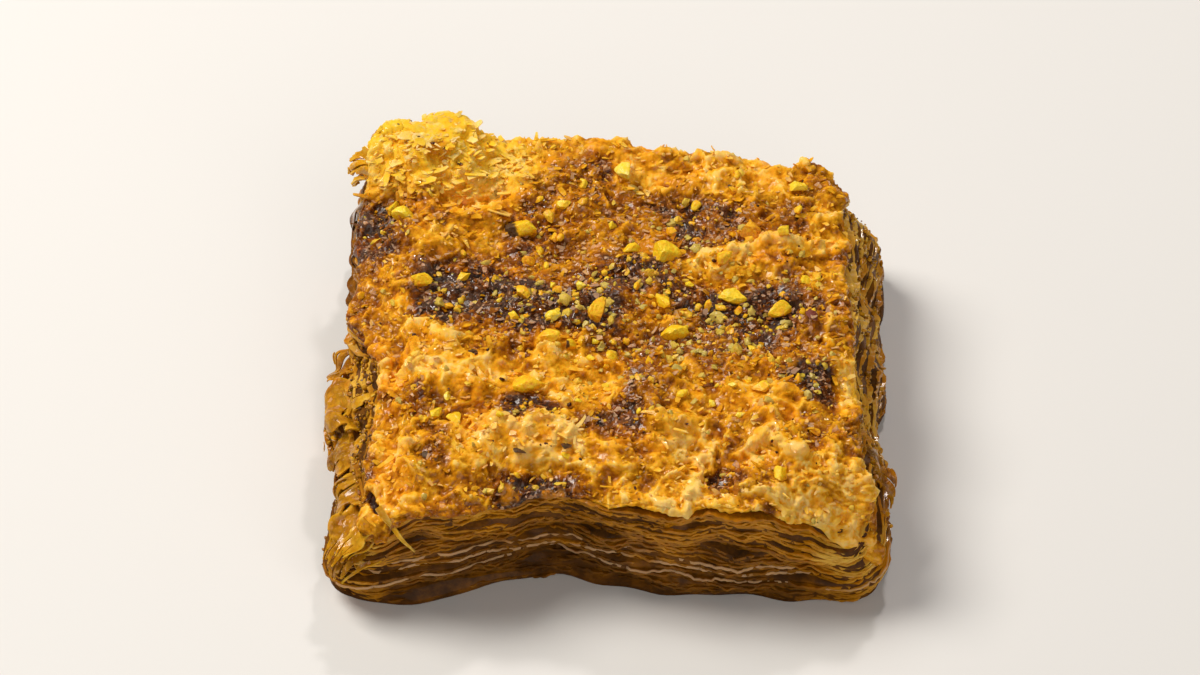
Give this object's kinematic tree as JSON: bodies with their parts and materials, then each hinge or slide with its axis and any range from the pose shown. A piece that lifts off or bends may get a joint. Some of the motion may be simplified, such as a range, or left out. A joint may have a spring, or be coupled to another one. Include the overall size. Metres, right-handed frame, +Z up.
{
  "type": "baklava piece",
  "caption": "Square-cut piece of syrup-soaked layered pastry with a crumpled browned top, slumped leafy sides and chopped pistachios.",
  "frame": {"origin": "middle of the base, at the centre of the bounding box seen from above", "axes": "+Z up, -Y towards the front cut side, +X to the right"},
  "size_m": [0.0852, 0.0771, 0.0292],
  "materials": {
    "pastry": "baked filo pastry, golden to dark brown, wet with syrup",
    "pistachio": "chopped pistachio, yellow to green, slightly moist"
  },
  "bodies": {
    "root": {"baklava": "pastry"}
  },
  "joints": []
}
